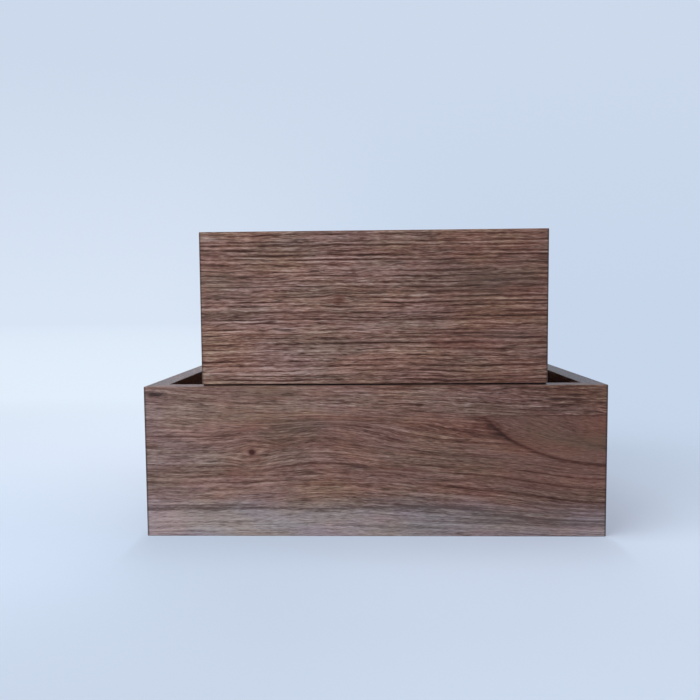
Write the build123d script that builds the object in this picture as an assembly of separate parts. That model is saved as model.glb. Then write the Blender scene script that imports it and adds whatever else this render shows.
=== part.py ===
from build123d import *
import math
import os

os.makedirs("parts", exist_ok=True)

# A walnut cosmetic organizer: an open tray with compartments, and a cabinet with one drawer that
# rests across the tray's rim. Millimetres, +Z up, origin on the ground under the middle of the tray.
# The cabinet's plain back faces -Y and its drawer opens towards +Y. Left is -X and right is +X.

# Boards that both boxes are cut from
board_height = 119.0
board_thickness = 16.0
arris_radius = 0.6

# Open tray
tray_width = 360.0
tray_depth = 240.0
tray_base_thickness = 6.0
tray_base_lift = 5.0
tray_base_groove = 6.0
panel_edge_play = 0.5

# Loose tongues hidden in the mitred corners
tongue_width = 14.0
tongue_thickness = 3.0
tongue_inset = 5.5
tongue_end_margin = 18.0

# Lining and dividers of the tray
lining_thickness = 1.2
lining_edge_gap = 0.3
tray_divider_height = 68.0
tray_divider_thickness = 6.0
tray_divider_housing = 3.0
tray_bay_columns = 3
lap_clearance = 0.1

# Cabinet resting on the tray
cabinet_width = 270.0
cabinet_setback = 5.0
cabinet_panel_thickness = 12.0
cabinet_rebate = 8.0
rest_strip_thickness = 1.0
rest_strip_width = 10.0
rest_strip_inset = 1.0

# Wooden runners that the drawer hangs on
runner_height = 12.0
runner_thickness = 6.5
runner_screw_count = 2
runner_screw_length = 15.0
runner_end_margin = 2.0
runner_running_gap = 0.25
runner_groove_play = 0.5

# Drawer
drawer_front_thickness = 14.0
drawer_front_gap = 1.2
drawer_side_gap = 1.0
drawer_rear_gap = 2.0
drawer_closing_gap = 0.3
drawer_side_thickness = 11.0
drawer_back_thickness = 9.0
drawer_side_drop = 8.0
drawer_edge_radius = 1.0
drawer_bottom_thickness = 4.0
drawer_bottom_lift = 6.0
drawer_bottom_groove = 5.0
bumper_diameter = 10.0

# Dovetails of the drawer
front_lap = 4.0
front_tail_count = 4
rear_tail_count = 3
dovetail_pin_width = 4.0
dovetail_slope = 1 / 7

# Finger notch in the drawer front
notch_width = 76.0
notch_depth = 18.0
notch_corner_radius = 6.0
notch_edge_radius = 1.6
notch_inner_chamfer = 1.0

# Dividers of the drawer
drawer_divider_height = 48.0
drawer_divider_thickness = 5.0
drawer_divider_housing = 2.0
brush_lane_depth = 62.0

# Countersunk wood screws
screw_shank_diameter = 3.0
screw_head_diameter = 6.0
screw_head_height = 1.8
screw_tip_length = 2.5
screw_hole_clearance = 0.05
bottom_screw_length = 12.0
bottom_screw_count = 2

# Places worked out from the sizes above
tray_half_x = tray_width / 2
tray_half_y = tray_depth / 2
tray_inner_x = tray_half_x - board_thickness
tray_inner_y = tray_half_y - board_thickness
tray_base_top = tray_base_lift + tray_base_thickness
tray_lining_top = tray_base_top + lining_thickness
tray_divider_top = tray_lining_top + tray_divider_height

cabinet_depth = tray_depth - 2 * cabinet_setback
cabinet_half_x = cabinet_width / 2
cabinet_half_y = cabinet_depth / 2
cabinet_inner_x = cabinet_half_x - board_thickness
cabinet_inner_back = -cabinet_half_y + board_thickness
cabinet_bottom = board_height + rest_strip_thickness
cabinet_top = cabinet_bottom + board_height
opening_bottom = cabinet_bottom + cabinet_panel_thickness
opening_top = cabinet_top - cabinet_panel_thickness

drawer_half_x = cabinet_inner_x - drawer_side_gap
drawer_inner_x = drawer_half_x - drawer_side_thickness
drawer_face = cabinet_half_y
drawer_front_inside = drawer_face - drawer_front_thickness
drawer_rear = cabinet_inner_back + drawer_rear_gap
drawer_back_inside = drawer_rear + drawer_back_thickness
drawer_bottom_edge = opening_bottom + drawer_front_gap
drawer_front_top = opening_top - drawer_front_gap
drawer_side_top = drawer_front_top - drawer_side_drop
drawer_panel_bottom = drawer_bottom_edge + drawer_bottom_lift
drawer_panel_top = drawer_panel_bottom + drawer_bottom_thickness
drawer_lining_top = drawer_panel_top + lining_thickness
drawer_divider_top = drawer_lining_top + drawer_divider_height

runner_middle = (drawer_bottom_edge + drawer_side_top) / 2
runner_front_end = drawer_front_inside - drawer_closing_gap
runner_rear_end = cabinet_inner_back + runner_end_margin

FROM_BELOW = (Align.CENTER, Align.CENTER, Align.MIN)


def save(shape, name):
    """Writes one named piece."""
    export_step(shape, f"parts/{name}.step")


def block(x, y, z):
    """A rectangular block that fills three spans, each a pair of places along its axis."""
    middle = Pos(sum(x) / 2, sum(y) / 2, sum(z) / 2)
    return middle * Box(x[1] - x[0], y[1] - y[0], z[1] - z[0])


def across(half):
    """The span from -half to +half."""
    return (-half, half)


def eased_block(width, depth, base, height):
    """The outside of a box, with every arris lightly rounded by hand."""
    outside = Pos(0, 0, base) * Box(width, depth, height, align=FROM_BELOW)
    return fillet(outside.edges(), arris_radius)


def plan_prism(points, base, height):
    """A plan outline raised from base."""
    outline = Pos(0, 0, base) * make_face(Polyline(*points, close=True))
    return extrude(outline, height, dir=(0, 0, 1))


def corner_tongue(half_x, half_y, side_x, side_y, base):
    """A loose tongue lying square across the mitre of one corner."""
    along_x = side_x * (half_x - board_thickness + tongue_inset)
    along_y = side_y * (half_y - board_thickness + tongue_inset)
    turn = math.degrees(math.atan2(-side_y, side_x))
    length = board_height - 2 * tongue_end_margin
    tongue = Box(tongue_width, tongue_thickness, length, align=FROM_BELOW)
    return Pos(along_x, along_y, base + tongue_end_margin) * Rot(0, 0, turn) * tongue


def countersunk_screw(length, growth=0.0):
    """A wood screw hanging down from its flush head. Growth widens it into the hole it needs."""
    head = screw_head_diameter / 2 + growth
    shank = screw_shank_diameter / 2 + growth
    profile = Polyline(
        (0, 0),
        (head, 0),
        (shank, -screw_head_height),
        (shank, screw_tip_length - length),
        (0, -length - growth),
        close=True,
    )
    return revolve(Plane.XZ * make_face(profile), Axis.Z)


# Tray

def tray_wall_plans():
    """The four wall outlines in plan, each cut at 45 degrees at both ends."""
    outer = {}
    inner = {}
    for side_x in (-1, 1):
        for side_y in (-1, 1):
            outer[side_x, side_y] = (side_x * tray_half_x, side_y * tray_half_y)
            inner[side_x, side_y] = (side_x * tray_inner_x, side_y * tray_inner_y)

    def wall(first, second):
        return [outer[first], outer[second], inner[second], inner[first]]

    return {
        "back": wall((-1, -1), (1, -1)),
        "front": wall((-1, 1), (1, 1)),
        "left": wall((-1, -1), (-1, 1)),
        "right": wall((1, -1), (1, 1)),
    }


def tray_tongues():
    """Four tongues, one in each corner of the tray."""
    corners = [(x, y) for x in (-1, 1) for y in (-1, 1)]
    return [corner_tongue(tray_half_x, tray_half_y, x, y, 0) for x, y in corners]


def tray_divider_places():
    """Where the cross dividers stand along X, spaced so that every bay has one width."""
    gaps = tray_bay_columns - 1
    bay = (2 * tray_inner_x - gaps * tray_divider_thickness) / tray_bay_columns
    step = bay + tray_divider_thickness
    return [step * (i - (gaps - 1) / 2) for i in range(gaps)]


def long_divider_span(bottom):
    """The space of the divider that runs the tray's whole width, ends housed in the side walls."""
    reach = tray_inner_x + tray_divider_housing
    return across(reach), across(tray_divider_thickness / 2), (bottom, tray_divider_top)


def cross_divider_span(place, bottom):
    """The space of a divider that runs from the tray's back wall to its front wall."""
    half = tray_divider_thickness / 2
    reach = tray_inner_y + tray_divider_housing
    return (place - half, place + half), across(reach), (bottom, tray_divider_top)


def tray_shell():
    """The ring of four walls in one, with its inner rim eased and its grooves cut."""
    shell = eased_block(tray_width, tray_depth, 0, board_height)
    shell -= block(across(tray_inner_x), across(tray_inner_y), (-1, board_height + 1))
    rim = shell.faces().sort_by(Axis.Z)[-1]
    shell = fillet(rim.inner_wires()[0].edges(), arris_radius)
    groove_x = across(tray_inner_x + tray_base_groove)
    groove_y = across(tray_inner_y + tray_base_groove)
    shell -= block(groove_x, groove_y, (tray_base_lift, tray_base_top))
    shell -= block(*long_divider_span(tray_base_top))
    for place in tray_divider_places():
        shell -= block(*cross_divider_span(place, tray_base_top))
    for tongue in tray_tongues():
        shell -= tongue
    return shell


def eased_divider(span, axis):
    """A divider board with its two top edges rounded."""
    board = block(*span)
    top_edges = board.edges().filter_by(axis).group_by(Axis.Z)[-1]
    return fillet(top_edges, arris_radius)


def build_tray():
    """The tray: mitred walls, grooved-in base, lining and lapped dividers."""
    shell = tray_shell()
    for side, plan in tray_wall_plans().items():
        save(shell & plan_prism(plan, 0, board_height), f"tray_{side}_wall")
    save(Compound(children=tray_tongues()), "tray_corner_tongues")

    base_x = across(tray_inner_x + tray_base_groove - panel_edge_play)
    base_y = across(tray_inner_y + tray_base_groove - panel_edge_play)
    save(block(base_x, base_y, (tray_base_lift, tray_base_top)), "tray_base_panel")

    lining_x = across(tray_inner_x - lining_edge_gap)
    lining_y = across(tray_inner_y - lining_edge_gap)
    save(block(lining_x, lining_y, (tray_base_top, tray_lining_top)), "tray_felt_lining")

    lap_height = (tray_lining_top + tray_divider_top) / 2
    slot_half = tray_divider_thickness / 2 + lap_clearance
    above_lap = (lap_height, tray_divider_top + 1)
    below_lap = (tray_lining_top - 1, lap_height)
    long_divider = eased_divider(long_divider_span(tray_lining_top), Axis.X)
    for place, side in zip(tray_divider_places(), ("left", "right")):
        slot_x = (place - slot_half, place + slot_half)
        long_divider -= block(slot_x, across(tray_divider_thickness), above_lap)
        cross = eased_divider(cross_divider_span(place, tray_lining_top), Axis.Y)
        cross -= block(slot_x, across(slot_half), below_lap)
        save(cross, f"tray_{side}_cross_divider")
    save(long_divider, "tray_long_divider")


# Cabinet

def cabinet_wall_plans():
    """The back and the two sides in plan, mitred where they meet and square at the drawer's end."""
    back_y = -cabinet_half_y

    def side(sign):
        return [
            (sign * cabinet_half_x, back_y),
            (sign * cabinet_inner_x, cabinet_inner_back),
            (sign * cabinet_inner_x, cabinet_half_y),
            (sign * cabinet_half_x, cabinet_half_y),
        ]

    back = [
        (-cabinet_half_x, back_y),
        (cabinet_half_x, back_y),
        (cabinet_inner_x, cabinet_inner_back),
        (-cabinet_inner_x, cabinet_inner_back),
    ]
    return {"back_board": back, "left_side": side(-1), "right_side": side(1)}


def cabinet_tongues():
    """Two tongues, in the mitres at the back."""
    return [
        corner_tongue(cabinet_half_x, cabinet_half_y, side_x, -1, cabinet_bottom)
        for side_x in (-1, 1)
    ]


def panel_space(z):
    """The space of the top or bottom board, let into a rebate on three sides."""
    reach_x = cabinet_inner_x + cabinet_rebate
    reach_back = cabinet_inner_back - cabinet_rebate
    return block(across(reach_x), (reach_back, cabinet_half_y + 1), z)


def runner_screw_places():
    """Where the screws go along a runner."""
    length = runner_front_end - runner_rear_end
    step = length / runner_screw_count
    return [runner_rear_end + step * (i + 0.5) for i in range(runner_screw_count)]


def runner_screws(side, growth=0.0):
    """The screws of one runner, lying across the cabinet with heads flush in the runner."""
    head_x = side * (cabinet_inner_x - runner_thickness)
    turn = Rot(0, -90 * side, 0)
    screw = countersunk_screw(runner_screw_length, growth)
    return [Pos(head_x, y, runner_middle) * turn * screw for y in runner_screw_places()]


def runner(side):
    """One hardwood runner on a cabinet side, its front end rounded to lead the drawer in."""
    inside = side * (cabinet_inner_x - runner_thickness)
    span_x = sorted((side * cabinet_inner_x, inside))
    span_z = (runner_middle - runner_height / 2, runner_middle + runner_height / 2)
    strip = block(span_x, (runner_rear_end, runner_front_end), span_z)
    lead_edges = strip.faces().sort_by(Axis.Y)[-1].edges().filter_by(Axis.X)
    strip = fillet(lead_edges, runner_height / 6)
    for hole in runner_screws(side, screw_hole_clearance):
        strip -= hole
    return strip


def build_cabinet():
    """The cabinet: three mitred walls, let-in top and bottom, runners, bumpers and rest strips."""
    outside = eased_block(cabinet_width, cabinet_depth, cabinet_bottom, board_height)
    top_space = panel_space((opening_top, cabinet_top + 1))
    bottom_space = panel_space((cabinet_bottom - 1, opening_bottom))
    drawer_space_y = (cabinet_inner_back, cabinet_half_y + 1)
    drawer_space_z = (cabinet_bottom - 1, cabinet_top + 1)
    walls = outside - block(across(cabinet_inner_x), drawer_space_y, drawer_space_z)
    walls = walls - top_space - bottom_space
    for tongue in cabinet_tongues():
        walls -= tongue
    sides_of_screws = {"left_side": -1, "right_side": 1}
    for part, plan in cabinet_wall_plans().items():
        wall = walls & plan_prism(plan, cabinet_bottom, board_height)
        if part in sides_of_screws:
            for hole in runner_screws(sides_of_screws[part], screw_hole_clearance):
                wall -= hole
        save(wall, f"cabinet_{part}")
    save(outside & top_space, "cabinet_top_board")
    save(outside & bottom_space, "cabinet_bottom_board")
    save(Compound(children=cabinet_tongues()), "cabinet_corner_tongues")

    save(runner(-1), "cabinet_left_runner")
    save(runner(1), "cabinet_right_runner")
    save(Compound(children=runner_screws(-1) + runner_screws(1)), "runner_screws")

    strip_x = across(cabinet_half_x - rest_strip_inset)
    strip_z = (board_height, cabinet_bottom)
    outer_edge = cabinet_half_y - rest_strip_inset
    inner_edge = outer_edge - rest_strip_width
    save(block(strip_x, (-outer_edge, -inner_edge), strip_z), "cabinet_back_rest_strip")
    save(block(strip_x, (inner_edge, outer_edge), strip_z), "cabinet_front_rest_strip")

    bumper_length = drawer_rear_gap - drawer_closing_gap
    bumper = Cylinder(bumper_diameter / 2, bumper_length, align=FROM_BELOW)
    bumper_x = drawer_inner_x - bumper_diameter
    seat = [
        Pos(x, cabinet_inner_back, runner_middle) * Rot(-90, 0, 0) * bumper
        for x in (-bumper_x, bumper_x)
    ]
    save(Compound(children=seat), "drawer_bumpers")


# Drawer

def dovetails(side, root, tip, z, count):
    """Tails at one end of a drawer side, spread evenly over a span of its height.

    Each widens from its root to its tip at the dovetail's slope."""
    pitch = (z[1] - z[0]) / count
    tip_half = (pitch - dovetail_pin_width) / 2
    root_half = tip_half - abs(tip - root) * dovetail_slope
    base_x = min(side * drawer_inner_x, side * drawer_half_x)
    tails = []
    for i in range(count):
        middle = z[0] + pitch * (i + 0.5)
        outline = Polyline(
            (root, middle - root_half),
            (tip, middle - tip_half),
            (tip, middle + tip_half),
            (root, middle + root_half),
            close=True,
        )
        face = Plane.YZ.offset(base_x) * make_face(outline)
        tails.append(extrude(face, drawer_side_thickness, dir=(1, 0, 0)))
    return tails


def notched_front():
    """The inset front board, with a curved finger notch dipping into its top edge.

    The notch is rounded over outside, where the finger pulls, and chamfered inside."""
    span_y = (drawer_front_inside, drawer_face)
    span_z = (drawer_bottom_edge, drawer_front_top)
    board = block(across(drawer_half_x), span_y, span_z)

    half = notch_width / 2
    radius = (half**2 + notch_depth**2) / (2 * notch_depth)
    centre_z = drawer_front_top - notch_depth + radius
    middle_y = (drawer_front_inside + drawer_face) / 2
    scoop = Cylinder(radius, 2 * drawer_front_thickness)
    board -= Pos(0, middle_y, centre_z) * Rot(90, 0, 0) * scoop

    top_corners = board.edges().filter_by(Axis.Y).group_by(Axis.Z)[-1]
    inner_corners = top_corners.sort_by(lambda edge: abs(edge.center().X))[:2]
    board = fillet(inner_corners, notch_corner_radius)
    outside = board.faces().sort_by(Axis.Y)[-1].edges().filter_by(GeomType.CIRCLE)
    board = fillet(outside, notch_edge_radius)
    inside = board.faces().sort_by(Axis.Y)[0].edges().filter_by(GeomType.CIRCLE)
    return chamfer(inside, notch_inner_chamfer)


def short_divider_places():
    """Where the two short dividers stand along X, in thirds of the drawer."""
    bay = (2 * drawer_inner_x - 2 * drawer_divider_thickness) / 3
    place = (bay + drawer_divider_thickness) / 2
    return {"left": -place, "right": place}


def brush_divider_space(bottom, reach):
    """The space of the divider across the drawer, which leaves the brush lane behind it."""
    start = drawer_back_inside + brush_lane_depth
    span_y = (start, start + drawer_divider_thickness)
    return across(drawer_inner_x + reach), span_y, (bottom, drawer_divider_top)


def short_divider_space(place, bottom):
    """The space of one short divider, from the brush divider to the drawer front."""
    half = drawer_divider_thickness / 2
    lane_end = drawer_back_inside + brush_lane_depth + drawer_divider_thickness
    start = lane_end - drawer_divider_housing
    end = drawer_front_inside + drawer_divider_housing
    return (place - half, place + half), (start, end), (bottom, drawer_divider_top)


def bottom_screw_places():
    """Where screws pass up through the drawer bottom into the back."""
    step = 2 * drawer_inner_x / bottom_screw_count
    middle = (bottom_screw_count - 1) / 2
    return [step * (i - middle) for i in range(bottom_screw_count)]


def bottom_screws(growth=0.0):
    """The screws under the drawer, heads flush with the underside of its bottom."""
    y = (drawer_rear + drawer_back_inside) / 2
    screw = Rot(180, 0, 0) * countersunk_screw(bottom_screw_length, growth)
    return [Pos(x, y, drawer_panel_bottom) * screw for x in bottom_screw_places()]


def runner_groove(side):
    """The groove along the outside of the drawer that slides on one runner."""
    depth = runner_thickness - drawer_side_gap + runner_groove_play
    half = runner_height / 2 + runner_running_gap
    groove_x = sorted((side * drawer_half_x, side * (drawer_half_x - depth)))
    groove_y = (drawer_rear - 1, drawer_front_inside)
    return block(groove_x, groove_y, (runner_middle - half, runner_middle + half))


def drawer_side(side, front, back):
    """One side: tails at both ends, a groove for the runner outside and one for the bottom inside."""
    span_x = sorted((side * drawer_inner_x, side * drawer_half_x))
    span_y = (drawer_rear, drawer_face - front_lap)
    board = block(span_x, span_y, (drawer_bottom_edge, drawer_side_top))
    top_edges = board.edges().filter_by(Axis.Y).group_by(Axis.Z)[-1]
    board = fillet(top_edges, drawer_edge_radius)
    board = board - front - back - runner_groove(side)

    bottom_reach = side * (drawer_inner_x + drawer_bottom_groove)
    bottom_x = sorted((side * drawer_inner_x, bottom_reach))
    bottom_y = (drawer_rear - 1, drawer_front_inside + drawer_bottom_groove)
    board -= block(bottom_x, bottom_y, (drawer_panel_bottom, drawer_panel_top))
    board -= block(*brush_divider_space(drawer_panel_top, drawer_divider_housing))
    return board


def build_drawer():
    """The drawer: lapped dovetails in front, through dovetails behind, lining and dividers."""
    front = notched_front()
    span_y = (drawer_rear, drawer_back_inside)
    back = block(across(drawer_half_x), span_y, (drawer_panel_top, drawer_side_top))
    for side in (-1, 1):
        side_height = (drawer_bottom_edge, drawer_side_top)
        tail_tip = drawer_face - front_lap
        for tail in dovetails(side, drawer_front_inside, tail_tip, side_height, front_tail_count):
            front -= tail
        back_height = (drawer_panel_top, drawer_side_top)
        for tail in dovetails(side, drawer_back_inside, drawer_rear, back_height, rear_tail_count):
            back -= tail

    left = drawer_side(-1, front, back)
    right = drawer_side(1, front, back)
    save(left, "drawer_left_side")
    save(right, "drawer_right_side")
    back = back - runner_groove(-1) - runner_groove(1)
    top_edges = back.edges().filter_by(Axis.X).group_by(Axis.Z)[-1]
    back = fillet(top_edges, drawer_edge_radius)

    groove_y = (drawer_front_inside, drawer_front_inside + drawer_bottom_groove)
    groove_z = (drawer_panel_bottom, drawer_panel_top)
    front -= block(across(drawer_inner_x), groove_y, groove_z)
    places = short_divider_places()
    for place in places.values():
        front -= block(*short_divider_space(place, drawer_panel_top))
    save(front, "drawer_front")

    panel_x = across(drawer_inner_x + drawer_bottom_groove - panel_edge_play)
    panel_y = (drawer_rear, groove_y[1] - panel_edge_play)
    panel = block(panel_x, panel_y, groove_z)
    for hole in bottom_screws(screw_hole_clearance):
        panel -= hole
        back -= hole
    save(panel, "drawer_bottom_panel")
    save(back, "drawer_back")
    save(Compound(children=bottom_screws()), "drawer_bottom_screws")

    lining_x = across(drawer_inner_x - lining_edge_gap)
    lining_y = (drawer_back_inside + lining_edge_gap, drawer_front_inside - lining_edge_gap)
    save(block(lining_x, lining_y, (drawer_panel_top, drawer_lining_top)), "drawer_felt_lining")

    brush_space = brush_divider_space(drawer_lining_top, drawer_divider_housing)
    brush_divider = eased_divider(brush_space, Axis.X)
    for side, place in places.items():
        space = short_divider_space(place, drawer_lining_top)
        brush_divider -= block(*space)
        save(eased_divider(space, Axis.Y), f"drawer_{side}_divider")
    save(brush_divider, "drawer_brush_divider")


build_tray()
build_cabinet()
build_drawer()
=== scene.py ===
import math

import bpy
from mathutils import Matrix, Vector


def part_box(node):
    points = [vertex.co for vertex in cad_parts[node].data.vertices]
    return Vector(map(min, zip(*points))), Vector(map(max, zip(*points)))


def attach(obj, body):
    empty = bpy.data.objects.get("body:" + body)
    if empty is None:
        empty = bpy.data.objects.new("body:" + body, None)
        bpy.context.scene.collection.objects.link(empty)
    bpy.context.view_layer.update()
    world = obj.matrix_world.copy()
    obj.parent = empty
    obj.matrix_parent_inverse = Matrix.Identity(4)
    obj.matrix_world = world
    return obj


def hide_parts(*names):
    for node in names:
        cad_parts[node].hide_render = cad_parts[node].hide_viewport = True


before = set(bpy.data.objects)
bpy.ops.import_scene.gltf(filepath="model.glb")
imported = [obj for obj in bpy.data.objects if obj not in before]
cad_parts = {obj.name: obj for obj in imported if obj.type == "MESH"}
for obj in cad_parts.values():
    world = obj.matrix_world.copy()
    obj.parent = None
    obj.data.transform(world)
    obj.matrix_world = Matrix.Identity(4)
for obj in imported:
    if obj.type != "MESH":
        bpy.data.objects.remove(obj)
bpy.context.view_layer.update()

# A walnut cosmetic organizer: the boards keep their built shape and get their wood, and the felts
# and the screws are modelled here. Metres, as in the frame. MM turns a size in millimetres into it.
MM = 0.001


def paint(red, green, blue):
    """A colour given on the 0 to 255 scale, as the light it gives back."""
    def linear(level):
        level = level / 255
        return level / 12.92 if level <= 0.04045 else ((level + 0.055) / 1.055) ** 2.4

    return (linear(red), linear(green), linear(blue), 1.0)


# Sums over a surface

def feed(tree, socket, value):
    """Gives a socket a number, a colour or another socket's output."""
    if isinstance(value, Field):
        value = value.socket
    if isinstance(value, bpy.types.NodeSocket):
        tree.links.new(value, socket)
    else:
        socket.default_value = value


class Field:
    """A quantity that varies over a surface, such as a distance or a tone."""

    def __init__(self, tree, socket):
        self.tree = tree
        self.socket = socket

    def work(self, operation, *others):
        node = self.tree.nodes.new("ShaderNodeMath")
        node.operation = operation
        for socket, value in zip(node.inputs, (self,) + others):
            feed(self.tree, socket, value)
        return Field(self.tree, node.outputs[0])

    def __add__(self, other):
        return self.work("ADD", other)

    def __sub__(self, other):
        return self.work("SUBTRACT", other)

    def __rsub__(self, other):
        return self.work("MULTIPLY_ADD", -1.0, other)

    def __mul__(self, other):
        return self.work("MULTIPLY", other)

    def __truediv__(self, other):
        return self.work("DIVIDE", other)

    def __abs__(self):
        return self.work("ABSOLUTE")

    __radd__ = __add__
    __rmul__ = __mul__

    def least(self, other):
        return self.work("MINIMUM", other)

    def most(self, other):
        return self.work("MAXIMUM", other)

    def fraction(self):
        return self.work("FRACT")

    def distance_to(self, other):
        """The length of the line whose two sides are this field and the other."""
        return (self * self + other * other).work("SQRT")

    def ease(self, low, high):
        """0 at low, 1 at high and smooth between, also where low is the larger."""
        node = self.tree.nodes.new("ShaderNodeMapRange")
        node.interpolation_type = "SMOOTHSTEP"
        feed(self.tree, node.inputs["Value"], self)
        feed(self.tree, node.inputs["From Min"], low)
        feed(self.tree, node.inputs["From Max"], high)
        return Field(self.tree, node.outputs["Result"])

    def bell(self, middle, width):
        """1 at the middle, fading to nothing about two widths away."""
        offset = (self - middle) / width
        return (offset * offset * -1.0).work("EXPONENT")

    def toward(self, other, amount):
        """This field where amount is 0 and the other where it is 1."""
        return self + (other - self) * amount


def vector(tree, along, across, through):
    """Three fields as one place."""
    node = tree.nodes.new("ShaderNodeCombineXYZ")
    for socket, value in zip(node.inputs, (along, across, through)):
        feed(tree, socket, value)
    return node.outputs[0]


def parts_of(tree, place):
    """The three fields of a place."""
    node = tree.nodes.new("ShaderNodeSeparateXYZ")
    feed(tree, node.inputs[0], place)
    return [Field(tree, output) for output in node.outputs]


def fields_of(tree, node, labels):
    """A node's outputs as fields, by their labels."""
    return [Field(tree, node.outputs[label]) for label in labels]


def noise(tree, place, lengths, shift=0.0, detail=2.0, roughness=0.5):
    """Uneven patches whose lengths along the three axes are given, about 0.5 in the middle."""
    scale = tree.nodes.new("ShaderNodeVectorMath")
    scale.operation = "MULTIPLY_ADD"
    feed(tree, scale.inputs[0], place)
    scale.inputs[1].default_value = [1 / length for length in lengths]
    scale.inputs[2].default_value = [shift, shift * 1.7, shift * 2.3]
    node = tree.nodes.new("ShaderNodeTexNoise")
    feed(tree, node.inputs["Vector"], scale.outputs[0])
    node.inputs["Scale"].default_value = 1.0
    node.inputs["Detail"].default_value = detail
    node.inputs["Roughness"].default_value = roughness
    return Field(tree, node.outputs["Fac"])


def between(tree, amount, first, second):
    """The first colour where amount is 0 and the second where it is 1."""
    node = tree.nodes.new("ShaderNodeMix")
    node.data_type = "RGBA"
    feed(tree, node.inputs["Factor"], amount)
    feed(tree, node.inputs[6], first)
    feed(tree, node.inputs[7], second)
    return node.outputs[2]


def tinted(tree, colour, amount, first, second):
    """A colour under the first tint where amount is 0 and under the second where it is 1."""
    node = tree.nodes.new("ShaderNodeMix")
    node.data_type = "RGBA"
    node.blend_type = "MULTIPLY"
    node.inputs["Factor"].default_value = 1.0
    feed(tree, node.inputs[6], colour)
    feed(tree, node.inputs[7], between(tree, amount, first, second))
    return node.outputs[2]


def colour_scale(tree, value, stops):
    """Colours along a scale, from (level, colour) pairs."""
    node = tree.nodes.new("ShaderNodeValToRGB")
    feed(tree, node.inputs[0], value)
    elements = node.color_ramp.elements
    elements[0].position = stops[0][0]
    elements[1].position = stops[-1][0]
    for level, _ in stops[1:-1]:
        elements.new(level)
    for element, (_, colour) in zip(elements, stops):
        element.color = colour
    return node.outputs[0]


def new_group(name, inputs, outputs):
    """An empty group of nodes with named sockets, and its two ends."""
    tree = bpy.data.node_groups.new(name, "ShaderNodeTree")
    for label, kind in inputs.items():
        tree.interface.new_socket(name=label, in_out="INPUT", socket_type="NodeSocket" + kind)
    for label, kind in outputs.items():
        tree.interface.new_socket(name=label, in_out="OUTPUT", socket_type="NodeSocket" + kind)
    return tree, tree.nodes.new("NodeGroupInput"), tree.nodes.new("NodeGroupOutput")


def use_group(tree, group, **values):
    """Places a group in a tree, fed with the named values."""
    node = tree.nodes.new("ShaderNodeGroup")
    node.node_tree = group
    for label, value in values.items():
        feed(tree, node.inputs[label], value)
    return node.outputs


# Walnut

WALNUT_SCALE = (
    (0.00, paint(38, 16, 8)),
    (0.25, paint(79, 47, 35)),
    (0.50, paint(114, 82, 70)),
    (0.75, paint(147, 116, 103)),
    (1.00, paint(178, 151, 139)),
)
# The lilac-grey of sapwood, also laid on top faces as a painted reflection of the pale backdrop
SAPWOOD_AND_REFLECTION_SCALE = (
    (0.25, paint(98, 82, 80)),
    (0.62, paint(158, 143, 142)),
    (1.00, paint(192, 178, 178)),
)
WALNUT_WARM = paint(120, 76, 64)
WALNUT_GREY = paint(106, 89, 76)
WALNUT_PORE = paint(44, 18, 9)
WALNUT_END = paint(56, 37, 30)
WALNUT_WORN = paint(150, 124, 112)
JOINT_DARK = paint(28, 11, 9)
PIN_RED = paint(52, 6, 6)
WARM_TINT = (1.045, 1.0, 0.94, 1.0)
COOL_TINT = (0.955, 1.0, 1.06, 1.0)
GREEN_TINT = (0.988, 1.03, 0.988, 1.0)
MAUVE_TINT = (1.012, 0.97, 1.012, 1.0)


def growth_ring_group():
    """The tone of the growth rings, from a distance measured across them in millimetres.

    Spacing is the usual width of a ring, and Rows is how dark its row of spring pores is."""
    tree, start, end = new_group(
        "growth_rings",
        {"Along": "Float", "Rings": "Float", "Seed": "Float", "Spacing": "Float", "Rows": "Float"},
        {"Tone": "Float", "Early": "Float"},
    )
    along, rings, seed, spacing, rows = fields_of(
        tree, start, ("Along", "Rings", "Seed", "Spacing", "Rows")
    )
    place = vector(tree, along, rings, seed * 31.0)
    broad = noise(tree, place, (420.0, 10.0, 1.0), 3.1)
    fine = noise(tree, place, (220.0, 2.0, 1.0), 5.3, detail=3.0, roughness=0.6)
    uneven = noise(tree, place, (2000.0, 9.0, 1.0), 7.7)
    strength = noise(tree, place, (46.0, 2.2, 1.0), 11.9, detail=2.0)

    # Each turn from 0 to 1 crosses one ring, with its pores in the middle and late wood at the end
    turn = (rings / spacing + uneven * 2.2).fraction()
    row = turn.bell(0.5, 0.20)
    late = turn.ease(0.62, 0.98)
    tone = 0.5 + (broad - 0.5) * 0.22 + (fine - 0.5) * 0.80 - (late - 0.25) * 0.06
    tone = tone + rows * (0.3 - row * (strength.ease(0.36, 0.60) + 0.34))
    feed(tree, end.inputs["Tone"], tone)
    feed(tree, end.inputs["Early"], row)
    return tree


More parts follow.
